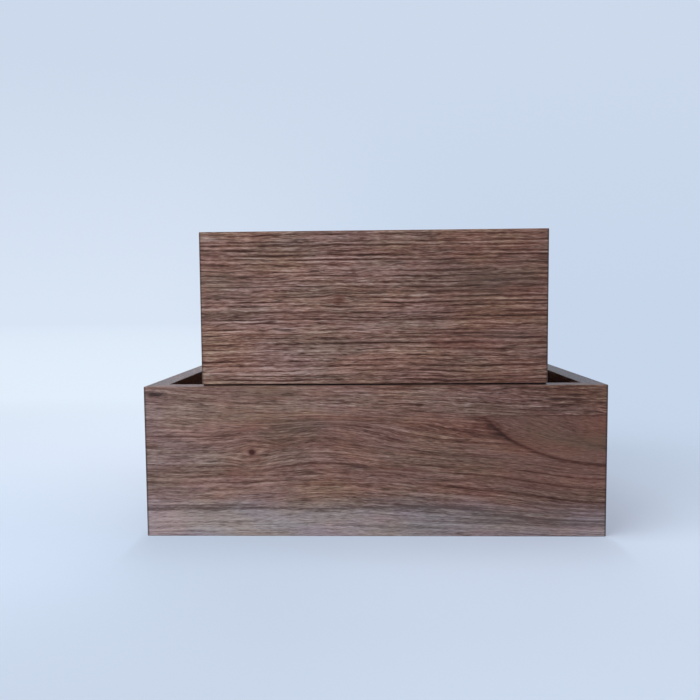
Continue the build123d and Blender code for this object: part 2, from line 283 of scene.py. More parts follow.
def walnut_surface_group():
    """The planed and oiled surface: fibres, open pores and the drift of its colour.

    Place is in millimetres, along the grain, across it and through the board."""
    tree, start, end = new_group(
        "walnut_surface",
        {"Place": "Vector", "Tone": "Float", "Early": "Float", "Ends": "Float", "Wear": "Float",
         "Red": "Float", "Sap_and_reflection": "Float", "Mark": "Float", "Figure": "Float"},
        {"Colour": "Color", "Roughness": "Float", "Height": "Float"},
    )
    place = start.outputs["Place"]
    tone, early, ends, wear, red, sapwood_and_reflection, mark, figure = fields_of(
        tree, start, ("Tone", "Early", "Ends", "Wear", "Red", "Sap_and_reflection", "Mark", "Figure")
    )

    # Lengths along the grain, across it and through the board, then a shift of its own
    streaks = noise(tree, place, (20.0, 1.3, 1.3), 1.3, detail=3.0, roughness=0.66)
    fibres = noise(tree, place, (6.0, 0.55, 0.55), 2.9, detail=2.0)
    dashes = noise(tree, place, (12.0, 0.95, 0.95), 8.1, detail=2.0, roughness=0.55)
    pores = noise(tree, place, (4.0, 0.4, 0.4), 4.7, detail=1.0)
    threads = noise(tree, place, (70.0, 3.0, 3.0), 5.5, detail=2.0)
    breaks = noise(tree, place, (24.0, 2.2, 2.2), 7.3, detail=1.0)
    drift = noise(tree, place, (150.0, 28.0, 28.0), 6.1, detail=2.0)
    blush = noise(tree, place, (60.0, 17.0, 17.0), 9.9, detail=3.0)
    warmth = noise(tree, place, (72.0, 25.0, 25.0), 12.7, detail=3.0)
    greenness = noise(tree, place, (60.0, 18.0, 18.0), 15.1, detail=3.0)

    dash_marks = dashes.ease(0.54, 0.66) * (early * 0.55 + 0.45) * (figure * 0.7 + 0.3)
    pore_marks = pores.ease(0.56, 0.68) * (early * 0.45 + 0.55)
    thread_marks = abs(threads - 0.5).ease(0.040, 0.0) * breaks.ease(0.40, 0.58)
    thread_marks = thread_marks * (figure * 0.6 + 0.4)
    open_grain = dash_marks.most(thread_marks) * (0.85 - sapwood_and_reflection * 0.35)
    open_pores = pore_marks * (0.5 - sapwood_and_reflection * 0.15)
    warm = (blush.ease(0.50, 0.80) * 0.4 + red).least(0.9) * 0.8
    grey = drift.ease(0.47, 0.30) * 0.35

    value = tone + (streaks - 0.5) * figure * 1.35 + (drift - 0.5) * 0.35
    value = value + (fibres - 0.5) * (figure * 0.6 + 0.5)
    colour = colour_scale(tree, value + 0.10, WALNUT_SCALE)
    colour = between(tree, warm, colour, WALNUT_WARM)
    colour = between(tree, grey, colour, WALNUT_GREY)
    # Sapwood's grey, which on top faces is a painted reflection of the backdrop
    colour = between(tree, sapwood_and_reflection, colour, colour_scale(tree, value, SAPWOOD_AND_REFLECTION_SCALE))
    colour = tinted(tree, colour, warmth.ease(0.36, 0.64), COOL_TINT, WARM_TINT)
    colour = tinted(tree, colour, greenness.ease(0.36, 0.64), MAUVE_TINT, GREEN_TINT)
    colour = between(tree, open_grain, colour, WALNUT_PORE)
    colour = between(tree, open_pores, colour, WALNUT_PORE)
    colour = between(tree, ends * 0.55, colour, WALNUT_END)
    colour = between(tree, wear * 0.25, colour, WALNUT_WORN)
    colour = between(tree, mark, colour, JOINT_DARK)
    feed(tree, end.inputs["Colour"], colour)

    roughness = 0.42 + pore_marks * 0.2 + (streaks - 0.5) * 0.15 + ends * 0.18 - wear * 0.08
    feed(tree, end.inputs["Roughness"], roughness)
    height = (fibres - 0.5) * 0.014 + (streaks - 0.5) * 0.02
    height = height - pore_marks * 0.05 - dash_marks * 0.04
    feed(tree, end.inputs["Height"], height)
    return tree


def edge_group():
    """How far a point is from the nearest edge of a board, in millimetres."""
    tree, start, end = new_group(
        "board_edges",
        {"Place": "Vector", "Low": "Vector", "High": "Vector"},
        {"Distance": "Float"},
    )
    place, low, high = [parts_of(tree, start.outputs[label]) for label in ("Place", "Low", "High")]
    first, second, third = [(p - a).least(b - p) for p, a, b in zip(place, low, high)]
    # One of the three is 0 on a face, so the one in the middle is the way to the nearest edge
    middle = first.least(second).most(first.most(second).least(third))
    feed(tree, end.inputs["Distance"], middle)
    return tree


GROWTH_RINGS = growth_ring_group()
WALNUT_SURFACE = walnut_surface_group()
BOARD_EDGES = edge_group()


class Finish:
    """One material while it is put together, with the surface's place in millimetres."""

    def __init__(self, name):
        self.material = bpy.data.materials.new(name)
        self.material.use_nodes = True
        self.tree = self.material.node_tree
        self.shader = self.tree.nodes["Principled BSDF"]
        coordinates = self.tree.nodes.new("ShaderNodeTexCoord")
        scale = self.tree.nodes.new("ShaderNodeVectorMath")
        scale.operation = "SCALE"
        feed(self.tree, scale.inputs[0], coordinates.outputs["Object"])
        scale.inputs["Scale"].default_value = 1 / MM
        self.spot = scale.outputs[0]
        self.axes = dict(zip("xyz", parts_of(self.tree, self.spot)))
        self.facing = dict(zip("xyz", parts_of(self.tree, coordinates.outputs["Normal"])))

    def set(self, **values):
        """Gives the shader's sockets their values, with the socket's spaces as underscores."""
        for label, value in values.items():
            feed(self.tree, self.shader.inputs[label.replace("_", " ")], value)

    def cover(self, amount, colour):
        """Lays another colour over what the surface has, where amount is 1."""
        below = self.shader.inputs["Base Color"].links[0].from_socket
        self.set(Base_Color=between(self.tree, amount, below, colour))

    def relief(self, height, strength=0.8):
        """Raises the surface by a height in millimetres."""
        bump = self.tree.nodes.new("ShaderNodeBump")
        bump.inputs["Distance"].default_value = MM
        bump.inputs["Strength"].default_value = strength
        feed(self.tree, bump.inputs["Height"], height)
        feed(self.tree, self.shader.inputs["Normal"], bump.outputs["Normal"])


# Sizes of the boxes in millimetres, and the width of the dark line down a mitred corner, which is
# glue line and painted shade of the arris, and of the line on its rim
TRAY_HALF = [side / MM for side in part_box("tray_front_wall")[1].xy]
CABINET_HALF = [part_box("cabinet_right_side")[1].x / MM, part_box("cabinet_top_board")[1].y / MM]
WALL = TRAY_HALF[1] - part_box("tray_front_wall")[0].y / MM
CORNER_LINE_AND_SHADE = 2.0
RIM_LINE = 0.3


class Board(Finish):
    """The finish of one walnut board, with its own place in the log.

    Grain names the axes along the grain, across it and through the board."""

    def __init__(self, name, grain, seed):
        super().__init__(name + "_walnut")
        self.seed = seed
        self.grain = grain
        self.along, self.across, self.through = [self.axes[axis] for axis in grain]
        self.ends = abs(self.facing[grain[0]]).ease(0.75, 0.95)
        low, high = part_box(name)
        edges = use_group(self.tree, BOARD_EDGES, Place=self.spot, Low=low / MM, High=high / MM)
        self.edge_distance = Field(self.tree, edges["Distance"])
        self.middle = dict(zip("xyz", (low + high) / 2 / MM))
        self.own_place = vector(self.tree, self.along, self.across, self.through)
        # No painted shade on faces into a box until the board is mitred
        self.inside = 0.0
        self.extras = {"Figure": 1.0}

    def patches(self, lengths, shift, **settings):
        """Uneven patches in the board's own directions: along, across and through."""
        return noise(self.tree, self.own_place, lengths, shift + self.seed * 13.7, **settings)

    def wander(self, sway, ripple):
        """How far the grain strays from a straight line, in millimetres."""
        slow = self.patches((170.0, 60.0, 60.0), 1.0, detail=1.0) - 0.5
        quick = self.patches((34.0, 12.0, 12.0), 2.0, detail=2.0) - 0.5
        return slow * sway + quick * ripple

    def rings(self, distance, spacing, rows):
        """The tone and the spring wood of rings, from a distance across them."""
        found = use_group(
            self.tree, GROWTH_RINGS, Along=self.along, Rings=distance, Seed=self.seed,
            Spacing=spacing, Rows=rows,
        )
        return Field(self.tree, found["Tone"]), Field(self.tree, found["Early"])

    def round_the_pith(self, across, pith):
        """The distance from the log's middle, which lies across and through the board."""
        out_across = across - (self.middle[self.grain[1]] + pith[0])
        out_through = self.through - (self.middle[self.grain[2]] + pith[1])
        return out_across.distance_to(out_through)

    def mitre(self, half_x, half_y):
        """A dark glue line where two walls meet at 45 degrees, widened down the upright corners as
        painted shade of the rounded arris, and a mask of the faces into the box, which take painted
        shade.

        Half_x and half_y are half the size of the box that the wall belongs to."""
        in_from_x = half_x - abs(self.axes["x"])
        in_from_y = half_y - abs(self.axes["y"])
        width = CORNER_LINE_AND_SHADE + abs(self.facing["z"]) * (RIM_LINE - CORNER_LINE_AND_SHADE)
        # Dark glue at the joint, and down upright corners a wider band of painted shade
        line = abs(in_from_x - in_from_y).ease(width, 0.06)
        self.extras["Mark"] = line * 0.75
        # The faces that look into the box, which get painted shade
        self.inside = in_from_x.least(in_from_y).ease(WALL - 0.8, WALL - 0.2)

    def finish(self, tone, early, across):
        """Gives the board its surface, once its tone and its warped grain are known."""
        shift = self.seed * 57.0
        place = vector(
            self.tree, self.along + shift * 3.0, across + shift, self.through + shift * 0.7
        )
        worn = self.patches((26.0, 8.0, 8.0), 21.0).ease(0.38, 0.62)
        found = use_group(
            self.tree, WALNUT_SURFACE, Place=place, Tone=tone, Early=early, Ends=self.ends,
            Wear=self.edge_distance.ease(1.2, 0.1) * worn, **self.extras,
        )
        self.set(Base_Color=found["Colour"], Roughness=found["Roughness"])
        self.set(IOR=1.46, Specular_IOR_Level=0.28)
        self.relief(found["Height"])


def coat(node, finish):
    """Puts a finish on a built piece."""
    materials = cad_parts[node].data.materials
    materials.clear()
    materials.append(finish.material)


# The axes along the grain, across it and through the board
BACK_GRAIN = "xzy"
SIDE_GRAIN = "yzx"
FLAT_GRAIN = "xyz"
# How much painted shade darkens the faces that look into a mitred box
INSIDE_SHADE = 0.14


def plain_board(name, grain, seed, pith, lighter=0.0, mitre=None):
    """A board with no mark of its own. Where it is mitred, its top faces get a painted reflection
    and painted shade, more shade on a darker wall, and its faces into the box get painted shade.
    """
    board = Board(name, grain, seed)
    across = board.across + board.wander(9.0, 2.0)
    tone, early = board.rings(board.round_the_pith(across, pith), 4.6, 0.26)
    if mitre:
        board.mitre(*mitre)
        rim = abs(board.facing["z"])
        # Painted reflection: the top faces take the pale grey of the backdrop
        board.extras["Sap_and_reflection"] = rim * 0.8
        # Painted shade: darker top faces, darker still on a darker wall, and darker faces into the
        # box
        tone = tone - rim * (0.28 - lighter * 3.5) - board.inside * INSIDE_SHADE
    board.finish(tone + lighter, early, across)
    coat(name, board)


# Name, grain, seed, the pith's place across and through the board from its middle, how much
# lighter it is than the rest, and half the size of its box where the board is mitred; a darker
# mitred board also gets more painted shade on its rim
PLAIN_BOARDS = (
    ("tray_front_wall", BACK_GRAIN, 2.0, (-40.0, 60.0), 0.0, TRAY_HALF),
    ("tray_left_wall", SIDE_GRAIN, 3.0, (60.0, 90.0), 0.0, TRAY_HALF),
    ("tray_right_wall", SIDE_GRAIN, 4.0, (-80.0, -70.0), -0.06, TRAY_HALF),
    ("tray_long_divider", BACK_GRAIN, 5.0, (90.0, 60.0)),
    ("tray_left_cross_divider", SIDE_GRAIN, 6.0, (-90.0, 80.0)),
    ("tray_right_cross_divider", SIDE_GRAIN, 7.0, (100.0, 50.0)),
    ("cabinet_left_side", SIDE_GRAIN, 9.0, (-120.0, 90.0), 0.0, CABINET_HALF),
    ("cabinet_right_side", SIDE_GRAIN, 10.0, (130.0, 60.0), 0.0, CABINET_HALF),
    ("cabinet_top_board", FLAT_GRAIN, 11.0, (20.0, -70.0)),
    ("cabinet_bottom_board", FLAT_GRAIN, 12.0, (-50.0, 90.0)),
    ("drawer_front", BACK_GRAIN, 13.0, (25.0, -55.0), 0.02),
    ("drawer_left_side", SIDE_GRAIN, 14.0, (110.0, 60.0), 0.05),
    ("drawer_right_side", SIDE_GRAIN, 15.0, (-100.0, 50.0), 0.05),
    ("drawer_back", BACK_GRAIN, 16.0, (100.0, 90.0), 0.04),
    ("drawer_brush_divider", BACK_GRAIN, 17.0, (-90.0, 60.0)),
    ("drawer_left_divider", SIDE_GRAIN, 18.0, (80.0, 60.0)),
    ("drawer_right_divider", SIDE_GRAIN, 19.0, (-80.0, 70.0)),
)
for plain in PLAIN_BOARDS:
    plain_board(*plain)


def near(x, z, place, sizes):
    """1 at a place on a board's face, fading to nothing about two sizes away."""
    return x.bell(place[0], sizes[0]) * z.bell(place[1], sizes[1])


def cabinet_back():
    """The straight, close-grained back of the cabinet, with one faint knot."""
    board = Board("cabinet_back_board", BACK_GRAIN, 8.0)
    x, z = board.axes["x"], board.axes["z"]
    knot = (-26.0, 185.0)
    round_knot = near(x, z, knot, (11.0, 7.0))
    across = z + board.wander(5.0, 2.4) - (z - knot[1]) * round_knot * 0.5
    tone, early = board.rings(across, 3.9, 0.39)
    dark_band = across.bell(172.5, 3.4)
    pale_line = across.bell(129.5, 1.1)
    tone = tone - dark_band * 0.16 + pale_line * 0.20
    # Painted shade darkens the board towards the right, as the light falls from the left; the knot
    # has its own dark heart
    tone = tone - x.ease(-60.0, 135.0) * 0.10 - near(x, z, knot, (4.2, 3.2)) * 0.42
    board.extras["Red"] = near(x, z, knot, (8.0, 6.0)) * 0.5 + x.ease(0.0, 130.0) * 0.12
    board.extras["Figure"] = 0.97 - x.ease(-20.0, 130.0) * 0.16
    board.mitre(*CABINET_HALF)
    board.finish(tone, early, across)
    coat("cabinet_back_board", board)


# Marks on the tray's back, by their place along it from the middle and their height
PIN_KNOT = (-95.7, 67.0)
STAIN = (-169.5, 113.3)
GLUE_LINE = 95.2
# Each reddish patch: its place, its width and height, and how red it is
RED_PATCHES = (
    (PIN_KNOT, (7.0, 5.5), 0.8),
    ((-110.0, 50.0), (8.0, 6.0), 0.5),
    ((-97.0, 86.0), (11.0, 4.0), 0.5),
    ((25.0, 52.0), (26.0, 5.0), 0.35),
    ((75.0, 84.0), (16.0, 9.0), 0.3),
)


def falling_lines(x, z):
    """The height that a grain line of the tray's back would have, were it straight.

    The lines part round the knot and the stain, and fall to the right."""
    lines = z - (z - PIN_KNOT[1]) * near(x, z, PIN_KNOT, (18.0, 11.0)) * 0.72
    lines = lines - (z - STAIN[1]) * near(x, z, STAIN, (12.0, 4.5)) * 0.6
    fall = x.ease(0.0, 215.0) * 15.0 + x.ease(95.0, 160.0) * 3.0 - x.bell(-32.0, 40.0) * 3.0
    fall = fall + z.bell(77.0, 16.0) * (x.ease(-45.0, 62.0) * 7.5 - x.bell(-45.0, 36.0) * 2.0)
    top_fall = (x + TRAY_HALF[0]) * 0.045
    fall = fall.toward(top_fall, z.ease(86.0, 104.0))
    return lines + fall * (z.ease(0.0, 30.0) * 0.7 + 0.3)


def long_dark_lines(board, x, lines):
    """Dark lines that run far along the grain, each over its own part of the board, and broken."""
    middle_line = lines.bell(54.0, 0.8) * (x.ease(-110.0, -40.0) * 0.6 + 0.3)
    upper_line = lines.bell(79.5, 0.8) * x.ease(62.0, 20.0) * 0.6
    end_line = lines.bell(62.3, 0.8) * x.ease(100.0, 122.0) * 0.9
    lower_line = lines.bell(43.0, 0.9) * x.ease(10.0, 60.0)
    broken = board.patches((36.0, 5.0, 5.0), 37.0).ease(0.30, 0.62) * 0.75 + 0.25
    return (middle_line + upper_line + end_line + lower_line) * broken


def swept_curve(x, z, start, level, reach):
    """The distance above a line that falls steeply from its start and flattens out at a level.

    Start holds where the line begins along x and its height above the level there."""
    rise = ((start[0] - x) / reach).work("EXPONENT") * start[1]
    distance = (z - level - rise) / (rise / reach).distance_to(1.0)
    return distance, distance.bell(0.0, 1.4)


def sweeping_figure(board, x, z, drift, below_glue):
    """The figure that sweeps down to the right under the glue line.

    Gives where it lies, its tone and spring wood, how dark its edge is and how red it is."""
    outer, outer_line = swept_curve(x, z + drift * 0.5, (90.0, 36.0), 53.0, 36.0)
    inner, inner_line = swept_curve(x, z + drift * 0.5, (147.7, 25.0), 68.0, 12.0)
    swept = outer.ease(-1.5, 1.5) * below_glue
    tone, early = board.rings(outer * 0.8, 9.0, 0.05)
    tone = 0.47 + (tone - 0.5) * 0.3 - inner_line * 0.15 - inner.ease(-3.0, 3.0) * 0.07
    smudge = outer.bell(-1.0, 5.0) * x.ease(122.0, 90.0) * 0.17 + outer.bell(-3.5, 4.5) * 0.05
    edge = (outer_line * z.ease(96.0, 80.0) * 0.29 + smudge) * below_glue
    red = inner.ease(-2.0, 4.0) * swept * 0.35
    return swept, tone, early, edge, red


def sapwood(x, z, drift, ragged, rightward):
    """How far the wood at the foot of the tray's back is sapwood, and how much lighter it is; low
    on the right it is darker instead.
    """
    height = z - drift * 0.35 + ragged * 7.0
    grey = (height + ragged * 4.0).ease(37.0 - rightward * 6.0, 18.0 - rightward * 8.0)
    line = (height + x.ease(50.0, 175.0) * 15.0).bell(23.0, 1.9) * (1.0 - rightward * 0.6)
    pale = (height + x.ease(0.0, 150.0) * 11.7).ease(21.5, 12.5 + rightward * 5.0)
    return grey, pale * 0.16 - line * 0.24 - rightward * z.ease(50.0, 30.0) * 0.07


def tray_back():
    """The tray's back: a pin knot on the left, a sweeping figure on the right, sapwood below."""
    board = Board("tray_back_wall", BACK_GRAIN, 1.0)
    x, z = board.axes["x"], board.axes["z"]
    drift = board.wander(4.0, 2.2)
    ragged = board.patches((44.0, 3.4, 3.4), 31.0, detail=2.0) - 0.5
    rightward = x.ease(60.0, 145.0)
    rim = abs(board.facing["z"])
    board.mitre(*TRAY_HALF)

    below_glue = z.ease(GLUE_LINE + 0.25, GLUE_LINE - 0.25)
    seam = x.ease(84.0, 98.0) * (z - GLUE_LINE).bell(0.0, 0.45)
    soft = x.ease(66.0, 108.0) * z.ease(20.0, 44.0) * below_glue
    top_right = z.ease(93.0, 100.0) * x.ease(-60.0, 60.0)
    sweep = sweeping_figure(board, x, z, drift, below_glue)
    swept, sweep_tone, sweep_early, sweep_edge, red = sweep
    grey, paler = sapwood(x, z, drift, ragged, rightward)

    lines = falling_lines(x, z) + drift
    tone, early = board.rings(lines, 5.2, 0.07)
    tone = tone.toward(sweep_tone, swept) + soft * 0.02
    tone = 0.5 + (tone - 0.5) * (1.0 - soft * 0.35)
    tone = tone - sweep_edge - seam * 0.22
    tone = tone - long_dark_lines(board, x, lines) * (1.0 - swept) * 0.30
    # Painted shade: the board darkens towards the right, as the light falls from the left
    tone = tone + paler - x.ease(-165.0, 120.0) * 0.14 + 0.03
    # Painted shade: darker top face and darker faces into the box
    tone = tone - rim * 0.16 - board.inside * INSIDE_SHADE

    stain = (near(x + ragged * 30.0, z + ragged * 9.0, STAIN, (6.0, 1.6)) * 1.4).least(0.8)
    for place, sizes, amount in RED_PATCHES:
        red = red + near(x, z, place, sizes) * amount
    figure = 0.68 + top_right * 0.28 - soft * 0.34 - swept * 0.18
    board.extras["Mark"] = board.extras["Mark"].most(stain)
    board.extras["Red"] = red
    # Sapwood grey at the foot and the left end, and on the top face a painted reflection of the
    # backdrop
    board.extras["Sap_and_reflection"] = (grey * 0.95).most(x.ease(-40.0, -180.0) * 0.22).most(rim * 0.3)
    board.extras["Figure"] = figure - grey * (rightward * 0.20 + 0.18)
    board.finish(tone, early.toward(sweep_early, swept), lines)
    board.cover((near(x, z, PIN_KNOT, (2.6, 2.3)) * 1.5).least(0.92), PIN_RED)
    coat("tray_back_wall", board)


def sand_arrises(node, width=0.25 * MM):
    """Takes the sharpness off a board's edges, as fine paper does."""
    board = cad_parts[node]
    whole = board.modifiers.new("whole_faces", "DECIMATE")
    whole.decimate_type = "DISSOLVE"
    whole.angle_limit = math.radians(1)
    arris = board.modifiers.new("sanded_arrises", "BEVEL")
    arris.width = width
    arris.segments = 2
    arris.limit_method = "ANGLE"
    arris.angle_limit = math.radians(40)
    arris.harden_normals = True


cabinet_back()
tray_back()
for sanded in ("cabinet_back_board", "tray_back_wall", *(plain[0] for plain in PLAIN_BOARDS)):
    sand_arrises(sanded)


# Plywood, beech, felt and steel

# The thickness of one pale and one dark ply in millimetres, and the tongues' upright grain
TWO_PLIES = 1.33
TONGUE_GRAIN = "zxy"


def plywood(name, seed):
    """A walnut-faced plywood panel whose thin plies show along its edges."""
    board = Board(name, FLAT_GRAIN, seed)
    across = board.across + board.wander(9.0, 2.0)
    tone, early = board.rings(board.round_the_pith(across, (30.0, -60.0)), 5.5, 0.2)
    board.finish(tone + 0.04, early, across)
    ply = (board.through / TWO_PLIES).fraction().ease(0.45, 0.55)
    speckle = board.patches((2.0, 2.0, 0.3), 4.0)
    pale = between(board.tree, speckle * 0.6, paint(188, 152, 114), paint(150, 112, 80))
    plies = between(board.tree, ply, pale, paint(112, 78, 54))
    board.cover(abs(board.facing["z"]).ease(0.6, 0.4), plies)
    coat(name, board)


def beech(name, grain, seed):
    """Waxed beech, with its short dark flecks."""
    board = Board(name, grain, seed)
    across = board.across + board.wander(4.0, 0.8)
    place = vector(board.tree, board.along, across, board.through)
    bands = noise(board.tree, place, (160.0, 2.4, 2.4), seed, detail=3.0)
    flecks = noise(board.tree, place, (2.6, 0.34, 0.34), seed + 3.0, detail=1.0).ease(0.62, 0.74)
    colour = between(board.tree, bands.ease(0.25, 0.75), paint(206, 168, 128), paint(178, 136, 98))
    colour = between(board.tree, flecks * 0.55, colour, paint(128, 88, 58))
    colour = between(board.tree, board.ends * 0.4, colour, paint(146, 106, 74))
    board.set(Base_Color=colour, Roughness=0.46 + bands * 0.14)
    board.relief((bands - 0.5) * 0.02 - flecks * 0.02)
    coat(name, board)


for panel, panel_seed in (("tray_base_panel", 20.0), ("drawer_bottom_panel", 21.0)):
    plywood(panel, panel_seed)
BEECH_PARTS = {
    "cabinet_left_runner": SIDE_GRAIN,
    "cabinet_right_runner": SIDE_GRAIN,
    "tray_corner_tongues": TONGUE_GRAIN,
    "cabinet_corner_tongues": TONGUE_GRAIN,
}
for index, (part, part_grain) in enumerate(BEECH_PARTS.items()):
    beech(part, part_grain, 30.0 + index)


def felt_finish():
    """Pressed charcoal wool, matt and slightly hairy."""
    felt = Finish("charcoal_felt")
    tree = felt.tree
    clumps = noise(tree, felt.spot, (5.0, 5.0, 5.0), 1.0, detail=3.0)
    hairs = noise(tree, felt.spot, (0.5, 2.2, 0.6), 2.0, detail=3.0, roughness=0.7)
    cross_hairs = noise(tree, felt.spot, (2.2, 0.5, 0.6), 5.0, detail=3.0, roughness=0.7)
    lint = noise(tree, felt.spot, (0.8, 1.6, 0.8), 9.0, detail=1.0).ease(0.72, 0.80)
    mixed = hairs.most(cross_hairs) + (clumps - 0.5) * 0.35
    colour = between(tree, mixed.ease(0.35, 0.85), paint(22, 20, 23), paint(62, 60, 66))
    colour = between(tree, lint * 0.5, colour, paint(118, 114, 118))
    felt.set(Base_Color=colour, Roughness=0.9 + clumps * 0.08, Specular_IOR_Level=0.1)
    felt.set(Sheen_Weight=0.25, Sheen_Roughness=0.5, Sheen_Tint=paint(150, 148, 156))
    felt.relief(mixed * 0.22 + clumps * 0.15, 1.0)
    return felt


def zinc_finish():
    """Zinc-plated steel with a slightly cloudy surface."""
    zinc = Finish("zinc_plated_steel")
    tree = zinc.tree
    cloud = noise(tree, zinc.spot, (1.6, 1.6, 1.6), 1.0, detail=3.0)
    grit = noise(tree, zinc.spot, (0.12, 0.12, 0.12), 2.0, detail=2.0)
    colour = between(tree, cloud.ease(0.3, 0.7), paint(206, 204, 196), paint(176, 172, 160))
    zinc.set(Base_Color=colour, Metallic=1.0, Roughness=0.24 + cloud * 0.2 + grit * 0.08)
    zinc.relief(grit * 0.01)
    return zinc


FELT = felt_finish()
ZINC = zinc_finish()


# Modelling

def only(piece):
    """Selects one object alone."""
    bpy.ops.object.select_all(action="DESELECT")
    piece.select_set(True)
    bpy.context.view_layer.objects.active = piece


def settled(piece, name, finish):
    """Names a piece, leaves its place in its mesh and gives it its finish."""
    only(piece)
    bpy.ops.object.transform_apply(location=True, rotation=True, scale=True)
    piece.name = name
    piece.data.name = name
    piece.data.materials.clear()
    piece.data.materials.append(finish.material)
    bpy.ops.object.shade_smooth_by_angle(angle=math.radians(35))
    return piece


def modify(piece, kind, **settings):
    """Adds a modifier and applies it."""
    only(piece)
    modifier = piece.modifiers.new(kind.lower(), kind)
    for label, value in settings.items():
        setattr(modifier, label, value)
    bpy.ops.object.modifier_apply(modifier=modifier.name)


def joined(pieces, name):
    """One object from several."""
    only(pieces[0])
    for other in pieces[1:]:
        other.select_set(True)
    bpy.ops.object.join()
    pieces[0].name = name
    return pieces[0]


def weight(piece, name, amount):
    """A vertex group whose weights are worked out from each vertex's place."""
    group = piece.vertex_groups.new(name=name)
    for vertex in piece.data.vertices:
        group.add([vertex.index], amount(piece.matrix_world @ vertex.co), "REPLACE")
    return group.name


def lump_pattern(name, size):
    """Soft lumps of one size, for pressing felt out of true."""
    lumps = bpy.data.textures.new(name, "CLOUDS")
    lumps.noise_scale = size
    lumps.noise_depth = 2
    return lumps


def felt_sheet(name, node, body, cell, pressed=(), loft=0.0):
    """A sheet of felt in the place of its node, flat where something stands on it.

    Pressed holds the boxes of what stands on the sheet, and loft is how far it rises between."""
    low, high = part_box(node)
    size = high - low
    margin, spread = 2 * MM, 9 * MM

    def freedom(place):
        """0 under and beside what presses the sheet, 1 well away from it."""
        gap = spread
        for a, b in pressed:
            out_x = max(a.x - place.x, place.x - b.x, 0.0)
            out_y = max(a.y - place.y, place.y - b.y, 0.0)
            gap = min(gap, math.hypot(out_x, out_y))
        share = min(max((gap - margin) / (spread - margin), 0.0), 1.0)
        return share * share * (3 - 2 * share)

    bpy.ops.object.select_all(action="DESELECT")
    middle = (low + high) / 2
    bpy.ops.mesh.primitive_grid_add(
        x_subdivisions=round(size.x / cell), y_subdivisions=round(size.y / cell),
        size=1.0, location=(middle.x, middle.y, high.z),
    )
    sheet = bpy.context.object
    sheet.scale = (size.x, size.y, 1.0)
    only(sheet)
    bpy.ops.object.transform_apply(location=False, rotation=False, scale=True)
    if loft:
        group = weight(sheet, "free", freedom)
        modify(
            sheet, "DISPLACE", direction="Z", strength=loft, mid_level=0.0, vertex_group=group,
            texture=lump_pattern(name + "_lumps", 22 * MM), texture_coords="LOCAL",
        )
    modify(sheet, "SOLIDIFY", thickness=size.z, offset=-1.0)
    modify(
        sheet, "BEVEL", width=min(0.4 * MM, size.z * 0.4), segments=2, limit_method="ANGLE",
        angle_limit=math.radians(50),
    )
    settled(sheet, name, FELT)
    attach(sheet, body)
    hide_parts(node)
    return sheet


def boxes_of(*nodes):
    """The box of each node."""
    return [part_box(node) for node in nodes]


TRAY_DIVIDERS = boxes_of(
    "tray_long_divider", "tray_left_cross_divider", "tray_right_cross_divider"
)
DRAWER_DIVIDERS = boxes_of("drawer_brush_divider", "drawer_left_divider", "drawer_right_divider")
LINING_CELL = 2.4 * MM
LINING_LOFT = 0.5 * MM
STRIP_CELL = 2.0 * MM


def lay_felts():
    """The linings of the tray and the drawer, and the strips that the cabinet rests on."""
    linings = (
        ("tray_felt", "tray_felt_lining", "tray", TRAY_DIVIDERS, "tray_base_panel"),
        ("drawer_felt", "drawer_felt_lining", "drawer", DRAWER_DIVIDERS, "drawer_bottom_panel"),
    )
    for name, node, body, dividers, panel in linings:
        sheet = felt_sheet(name, node, body, LINING_CELL, dividers, LINING_LOFT)
    strips = (
        ("back_rest_felt", "cabinet_back_rest_strip", "tray_back_wall"),
        ("front_rest_felt", "cabinet_front_rest_strip", "tray_front_wall"),
    )
    for name, node, wall in strips:
        strip = felt_sheet(name, node, "cabinet", STRIP_CELL)


def bumper_pad(name, radius, depth, place):
    """One round felt pad that faces the drawer, domed by its cut edge."""
    bpy.ops.object.select_all(action="DESELECT")
    bpy.ops.mesh.primitive_cylinder_add(
        vertices=40, radius=radius, depth=depth, location=place,
        rotation=(math.radians(-90), 0, 0),
    )
    pad = bpy.context.object
    only(pad)
    bpy.ops.object.transform_apply(location=False, rotation=True, scale=True)
    modify(
        pad, "BEVEL", width=0.35 * depth, segments=3, limit_method="ANGLE",
        angle_limit=math.radians(50),
    )
    bpy.ops.object.mode_set(mode="EDIT")
    bpy.ops.mesh.select_all(action="DESELECT")
    bpy.ops.object.mode_set(mode="OBJECT")
    for face in pad.data.polygons:
        face.select = abs(face.normal.y) > 0.99
    bpy.ops.object.mode_set(mode="EDIT")
    for _ in range(3):
        bpy.ops.mesh.inset(thickness=0.22 * radius)
    bpy.ops.object.mode_set(mode="OBJECT")
    modify(
        pad, "DISPLACE", direction="NORMAL", strength=0.12 * MM, mid_level=1.0,
        texture=lump_pattern("pad_lumps", 2.5 * MM), texture_coords="LOCAL",
    )
    return settled(pad, name, FELT)


def bumper_pads():
    """The two pads on the inside of the cabinet's back."""
    low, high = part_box("drawer_bumpers")
    middle = (low + high) / 2
    radius = (high.z - low.z) / 2
    name = "drawer_bumper_pads"
    pads = [
        bumper_pad(name, radius, high.y - low.y, (x, middle.y, middle.z))
        for x in (low.x + radius, high.x - radius)
    ]
    pad = joined(pads, name)
    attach(pad, "cabinet")
    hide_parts("drawer_bumpers")


# One wood screw: its head, shank and neck, the thread that starts below the neck, and the tip
HEAD_RADIUS = 3.0 * MM
HEAD_HEIGHT = 1.8 * MM
HEAD_RIM = 0.12 * MM
SHANK_RADIUS = 1.5 * MM
NECK = 3.2 * MM
NECK_TAPER = 0.3 * MM
ROOT_RADIUS = 1.08 * MM
CREST_RADIUS = 1.46 * MM
PITCH = 1.2 * MM
THREAD_START = 3.6 * MM
THREAD_END_GAP = 2.6 * MM
TIP = 3.0 * MM


